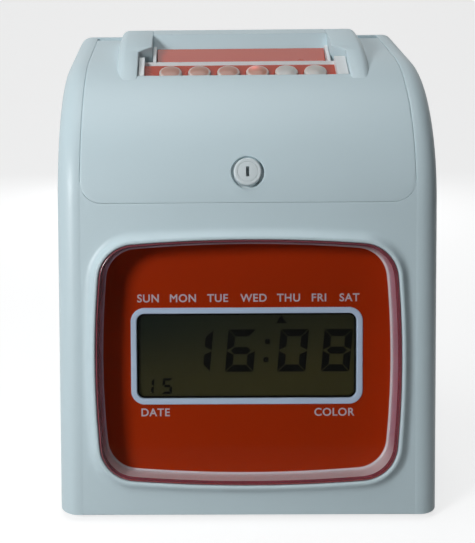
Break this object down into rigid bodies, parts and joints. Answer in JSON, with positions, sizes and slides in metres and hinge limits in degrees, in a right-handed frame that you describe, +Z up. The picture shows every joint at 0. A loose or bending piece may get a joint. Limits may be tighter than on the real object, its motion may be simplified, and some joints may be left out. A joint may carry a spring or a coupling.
{
  "type": "time clock",
  "caption": "Desktop time clock: leaning moulded case, orange display window, hinged locking lid with a raised card inlet and a row of keys, card feed and print carriage inside",
  "frame": {"origin": "on the standing surface, under the middle of the case", "axes": "+Z up, front with the window towards -Y, +X to the viewer's right"},
  "size_m": [0.174, 0.15, 0.2166],
  "materials": {
    "case_plastic": "fine satin moulded ABS",
    "feet_rubber": "matt",
    "steel": "ground",
    "sheet_steel": "zinc plated",
    "clear_window": "clear polycarbonate",
    "orange_plastic": "glossy burnt orange",
    "border_white": "satin",
    "display": "dark reflective display",
    "circuit_board": "solder mask",
    "lock_white": "satin white",
    "lamp_red": "diffused red",
    "key_tinted": "translucent",
    "key_white": "satin white",
    "black_plastic": "satin black",
    "head_metal": "zinc plated",
    "pulley_plastic": "natural nylon",
    "belt_rubber": "matt",
    "ribbon_fabric": "inked nylon",
    "pinion_brass": "turned",
    "battery_sleeve": "shrink sleeve"
  },
  "bodies": {
    "case": {"main_housing": "case_plastic", "rear_cover": "case_plastic", "base_plate": "case_plastic", "rubber_feet": "feet_rubber", "hinge_pins": "steel", "window_lens": "clear_window", "face_plate": "orange_plastic", "display_bezel": "border_white", "lcd_glass": "display", "display_board": "circuit_board", "key_panel": "orange_plastic", "key_board": "circuit_board", "column_lamps": "lamp_red", "card_guide_front": "border_white", "card_guide_rear": "orange_plastic", "side_frame_left": "sheet_steel", "side_frame_right": "sheet_steel", "tie_rods": "steel", "carriage_beam": "sheet_steel", "carriage_rod": "steel", "guide_rod": "steel", "carriage_motor": "head_metal", "drive_belt": "belt_rubber", "ribbon_cartridge": "black_plastic", "ink_ribbon": "ribbon_fabric", "platen": "black_plastic", "feed_motor": "head_metal", "card_stop": "sheet_steel", "card_sensor": "black_plastic", "main_board": "circuit_board", "transformer": "head_metal", "backup_battery": "battery_sleeve", "buzzer": "black_plastic", "power_inlet": "black_plastic", "case_screws": "steel", "board_screws": "steel"},
    "lid": {"top_cover": "case_plastic", "lock_body": "lock_white", "lock_nut": "sheet_steel"},
    "lock": {"lock_plug": "lock_white", "lock_cam": "sheet_steel"},
    "carriage": {"print_carriage": "black_plastic", "print_head": "head_metal"},
    "belt_drive": {"drive_pulley": "pulley_plastic"},
    "belt_idler": {"idler_pulley": "pulley_plastic"},
    "feed": {"feed_shaft": "steel", "feed_rollers": "feet_rubber", "feed_gear": "pulley_plastic"},
    "feed_drive": {"motor_pinion": "pinion_brass"},
    "pinch": {"pinch_axle": "steel", "pinch_rollers": "feet_rubber"},
    "ribbon_turn": {"ribbon_knob": "pulley_plastic"},
    "key_1": {"button_1": "key_tinted"},
    "key_2": {"button_2": "key_tinted"},
    "key_3": {"button_3": "key_tinted"},
    "key_4": {"button_4": "key_tinted"},
    "key_5": {"button_5": "key_white"},
    "key_6": {"button_6": "key_white"}
  },
  "joints": [
    {"name": "lid_hinge", "type": "hinge", "parent": "case", "child": "lid", "pos_m": [0, 0.06132, 0.20591], "axis": [-1, 0, 0], "range_deg": [0, 75]},
    {"name": "lock_turn", "type": "hinge", "parent": "lid", "child": "lock", "pos_m": [0, -0.03943, 0.1553], "axis": [0, 0.9225, -0.3859], "range_deg": [0, 90]},
    {"name": "carriage_slide", "type": "slide", "parent": "case", "child": "carriage", "axis": [1, 0, 0], "range_m": [-0.024, 0.024]},
    {"name": "belt_drive_turn", "type": "hinge", "parent": "case", "child": "belt_drive", "pos_m": [-0.04, -0.01952, 0.13093], "axis": [0, 0.9755, -0.2198], "range_deg": [-231.2, 231.2]},
    {"name": "belt_idler_turn", "type": "hinge", "parent": "case", "child": "belt_idler", "pos_m": [0.04, -0.01952, 0.13093], "axis": [0, 0.9755, -0.2198], "range_deg": [-231.2, 231.2]},
    {"name": "feed_turn", "type": "hinge", "parent": "case", "child": "feed", "pos_m": [0, 0.00573, 0.10013], "axis": [1, 0, 0], "continuous": true},
    {"name": "feed_drive_turn", "type": "hinge", "parent": "case", "child": "feed_drive", "pos_m": [0, 0.01647, 0.08314], "axis": [1, 0, 0], "continuous": true},
    {"name": "pinch_turn", "type": "hinge", "parent": "case", "child": "pinch", "pos_m": [0, -0.00812, 0.10325], "axis": [1, 0, 0], "continuous": true},
    {"name": "ribbon_knob_turn", "type": "hinge", "parent": "case", "child": "ribbon_turn", "pos_m": [0.034, -0.01136, 0.17625], "axis": [0, 0.9755, -0.2198], "continuous": true},
    {"name": "key_1_press", "type": "slide", "parent": "case", "child": "key_1", "axis": [0, 0.5, -0.866], "range_m": [0, 0.0012], "stiffness_N_per_m": 250, "springref_m": -0.0004},
    {"name": "key_2_press", "type": "slide", "parent": "case", "child": "key_2", "axis": [0, 0.5, -0.866], "range_m": [0, 0.0012], "stiffness_N_per_m": 250, "springref_m": -0.0004},
    {"name": "key_3_press", "type": "slide", "parent": "case", "child": "key_3", "axis": [0, 0.5, -0.866], "range_m": [0, 0.0012], "stiffness_N_per_m": 250, "springref_m": -0.0004},
    {"name": "key_4_press", "type": "slide", "parent": "case", "child": "key_4", "axis": [0, 0.5, -0.866], "range_m": [0, 0.0012], "stiffness_N_per_m": 250, "springref_m": -0.0004},
    {"name": "key_5_press", "type": "slide", "parent": "case", "child": "key_5", "axis": [0, 0.5, -0.866], "range_m": [0, 0.0012], "stiffness_N_per_m": 250, "springref_m": -0.0004},
    {"name": "key_6_press", "type": "slide", "parent": "case", "child": "key_6", "axis": [0, 0.5, -0.866], "range_m": [0, 0.0012], "stiffness_N_per_m": 250, "springref_m": -0.0004}
  ],
  "couplings": [
    {"joint": "belt_drive_turn", "follows": "carriage_slide", "rad_per_m": 166.67},
    {"joint": "belt_idler_turn", "follows": "carriage_slide", "rad_per_m": 166.67},
    {"joint": "feed_drive_turn", "follows": "feed_turn", "ratio": -2.3333},
    {"joint": "pinch_turn", "follows": "feed_turn", "ratio": -1.8}
  ]
}
